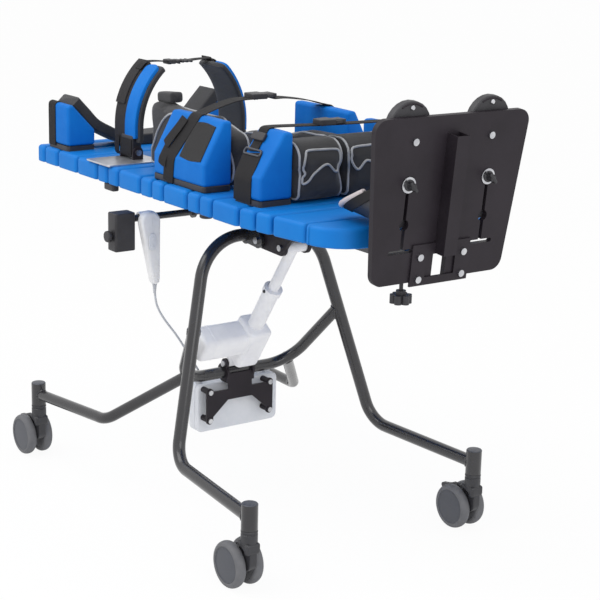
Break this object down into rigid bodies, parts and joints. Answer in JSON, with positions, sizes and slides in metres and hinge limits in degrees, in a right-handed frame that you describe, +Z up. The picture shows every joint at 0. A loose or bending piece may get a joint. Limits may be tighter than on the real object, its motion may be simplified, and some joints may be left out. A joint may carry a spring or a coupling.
{
  "type": "standing frame",
  "caption": "Supine tilting standing frame: padded slatted board with straps and sandals, raised to upright by a linear actuator on a bent-tube castor base.",
  "frame": {"origin": "on the floor under the middle of the frame's overall box", "axes": "+X to the foot end, +Y to the user's left, +Z up"},
  "size_m": [1.296, 0.667, 1.0192],
  "materials": {
    "frame_paint": "satin powder coat",
    "black_plate": "fine textured powder coat",
    "board_blue": "satin",
    "foam_blue": "soft skinned foam",
    "cushion_black": "knitted cover",
    "webbing_black": "woven webbing",
    "plastic_black": "moulded",
    "castor_grey": "moulded tyre",
    "castor_plastic": "moulded",
    "actuator_white": "fine spark texture",
    "rod_white": "smooth",
    "control_grey": "fine spark texture",
    "cord_grey": "smooth sheath",
    "steel": "zinc plated"
  },
  "bodies": {
    "base": {"front_hoop": "frame_paint", "cross_tube": "frame_paint", "rear_leg_left": "frame_paint", "rear_leg_right": "frame_paint", "castor_sockets": "frame_paint", "pivot_lugs": "frame_paint", "tilt_shaft": "steel", "control_bracket": "black_plate", "control_fasteners": "steel", "control_box": "control_grey", "handset_cord": "cord_grey", "cord_gland": "control_grey"},
    "board": {"board_slats": "board_blue", "board_rails": "frame_paint", "tilt_bracket": "black_plate", "board_bolts": "steel", "handset_bar": "black_plate", "accessory_clamp": "plastic_black", "handset": "actuator_white", "support_bases": "plastic_black", "head_wedges": "foam_blue", "head_liner": "cushion_black", "chest_plates": "steel", "knee_pad_left": "foam_blue", "knee_pad_right": "foam_blue", "knee_cushions": "cushion_black", "knee_strap": "webbing_black"},
    "actuator": {"actuator_motor": "actuator_white", "actuator_tube": "actuator_white"},
    "rod": {"actuator_rod": "rod_white"},
    "foot": {"foot_slides": "frame_paint", "foot_plate": "black_plate", "foot_channel": "frame_paint", "foot_bolts": "steel", "sandal_knobs": "plastic_black"},
    "star_knob": {"star_knob": "plastic_black"},
    "sandal_left": {"sandal_left": "cushion_black"},
    "sandal_right": {"sandal_right": "cushion_black"},
    "clamp_knob": {"clamp_knob": "plastic_black"},
    "rocker": {"handset_rocker": "control_grey"},
    "chest_left": {"chest_arm_left": "foam_blue", "chest_strap": "webbing_black"},
    "chest_right": {"chest_arm_right": "foam_blue", "chest_buckle": "plastic_black"},
    "pelvic_left": {"pelvic_pad_left": "foam_blue", "hip_cushion_left": "cushion_black", "pelvic_strap_left": "webbing_black"},
    "pelvic_right": {"pelvic_pad_right": "foam_blue", "hip_cushion_right": "cushion_black", "pelvic_strap_right": "webbing_black"},
    "castor_front_left": {"castor_fork_front_left": "castor_plastic"},
    "wheels_front_left": {"castor_wheels_front_left": "castor_grey"},
    "castor_front_right": {"castor_fork_front_right": "castor_plastic"},
    "wheels_front_right": {"castor_wheels_front_right": "castor_grey"},
    "castor_rear_left": {"castor_fork_rear_left": "castor_plastic"},
    "wheels_rear_left": {"castor_wheels_rear_left": "castor_grey"},
    "castor_rear_right": {"castor_fork_rear_right": "castor_plastic"},
    "wheels_rear_right": {"castor_wheels_rear_right": "castor_grey"},
    "brake_front_left": {"castor_brake_front_left": "castor_plastic"},
    "brake_rear_right": {"castor_brake_rear_right": "castor_plastic"}
  },
  "joints": [
    {"name": "tilt", "type": "hinge", "parent": "base", "child": "board", "pos_m": [0.028, 0, 0.634], "axis": [0, 1, 0], "range_deg": [0, 85]},
    {"name": "actuator_swing", "type": "hinge", "parent": "base", "child": "actuator", "pos_m": [-0.108, 0, 0.313], "axis": [0, 1, 0], "range_deg": [-4.33, 0.3]},
    {"name": "rod_stroke", "type": "slide", "parent": "actuator", "child": "rod", "axis": [0.5583, 0, 0.8296], "range_m": [-0.1039, 0.001]},
    {"name": "foot_slide", "type": "slide", "parent": "board", "child": "foot", "axis": [1, 0, 0], "range_m": [-0.04, 0.02]},
    {"name": "star_knob_turn", "type": "hinge", "parent": "foot", "child": "star_knob", "pos_m": [0.546, -0.0545, 0.65], "axis": [0, 0, 1], "continuous": true},
    {"name": "sandal_left_swivel", "type": "hinge", "parent": "foot", "child": "sandal_left", "pos_m": [0.60273, 0.099, 0.86054], "axis": [0.9945, 0, -0.1045], "range_deg": [-15, 15]},
    {"name": "sandal_right_swivel", "type": "hinge", "parent": "foot", "child": "sandal_right", "pos_m": [0.60273, -0.099, 0.86054], "axis": [0.9945, 0, -0.1045], "range_deg": [-15, 15]},
    {"name": "clamp_knob_turn", "type": "hinge", "parent": "board", "child": "clamp_knob", "pos_m": [-0.224, -0.27, 0.619], "axis": [0, -1, 0], "continuous": true},
    {"name": "handset_rocker", "type": "hinge", "parent": "board", "child": "rocker", "pos_m": [-0.1895, -0.19, 0.604], "axis": [0, 1, 0], "range_deg": [-5, 5], "stiffness_Nm_per_rad": 0.3},
    {"name": "chest_left_swing", "type": "hinge", "parent": "board", "child": "chest_left", "pos_m": [-0.363, 0.145, 0.785], "axis": [-1, 0, 0], "range_deg": [0, 60]},
    {"name": "chest_right_swing", "type": "hinge", "parent": "board", "child": "chest_right", "pos_m": [-0.363, -0.145, 0.785], "axis": [1, 0, 0], "range_deg": [0, 60]},
    {"name": "pelvic_left_slide", "type": "slide", "parent": "board", "child": "pelvic_left", "axis": [0, 1, 0], "range_m": [-0.015, 0.02]},
    {"name": "pelvic_right_slide", "type": "slide", "parent": "board", "child": "pelvic_right", "axis": [0, -1, 0], "range_m": [-0.015, 0.02]},
    {"name": "swivel_front_left", "type": "hinge", "parent": "base", "child": "castor_front_left", "pos_m": [0.3945, 0.3, 0.12], "axis": [0, 0, 1], "continuous": true},
    {"name": "roll_front_left", "type": "hinge", "parent": "castor_front_left", "child": "wheels_front_left", "pos_m": [0.3565, 0.3, 0.05], "axis": [0, 1, 0], "continuous": true},
    {"name": "swivel_front_right", "type": "hinge", "parent": "base", "child": "castor_front_right", "pos_m": [0.3945, -0.3, 0.12], "axis": [0, 0, 1], "continuous": true},
    {"name": "roll_front_right", "type": "hinge", "parent": "castor_front_right", "child": "wheels_front_right", "pos_m": [0.3565, -0.3, 0.05], "axis": [0, 1, 0], "continuous": true},
    {"name": "swivel_rear_left", "type": "hinge", "parent": "base", "child": "castor_rear_left", "pos_m": [-0.5425, 0.3, 0.12], "axis": [0, 0, 1], "continuous": true},
    {"name": "roll_rear_left", "type": "hinge", "parent": "castor_rear_left", "child": "wheels_rear_left", "pos_m": [-0.5805, 0.3, 0.05], "axis": [0, 1, 0], "continuous": true},
    {"name": "swivel_rear_right", "type": "hinge", "parent": "base", "child": "castor_rear_right", "pos_m": [-0.5425, -0.3, 0.12], "axis": [0, 0, 1], "continuous": true},
    {"name": "roll_rear_right", "type": "hinge", "parent": "castor_rear_right", "child": "wheels_rear_right", "pos_m": [-0.5805, -0.3, 0.05], "axis": [0, 1, 0], "continuous": true},
    {"name": "brake_front_left", "type": "hinge", "parent": "castor_front_left", "child": "brake_front_left", "pos_m": [0.3305, 0.3, 0.084], "axis": [0, -1, 0], "range_deg": [0, 20]},
    {"name": "brake_rear_right", "type": "hinge", "parent": "castor_rear_right", "child": "brake_rear_right", "pos_m": [-0.6065, -0.3, 0.084], "axis": [0, -1, 0], "range_deg": [0, 20]}
  ],
  "couplings": [
    {"joint": "actuator_swing", "follows": "tilt", "ratio": -0.047395},
    {"joint": "rod_stroke", "follows": "tilt", "m_per_rad": -0.069376}
  ]
}
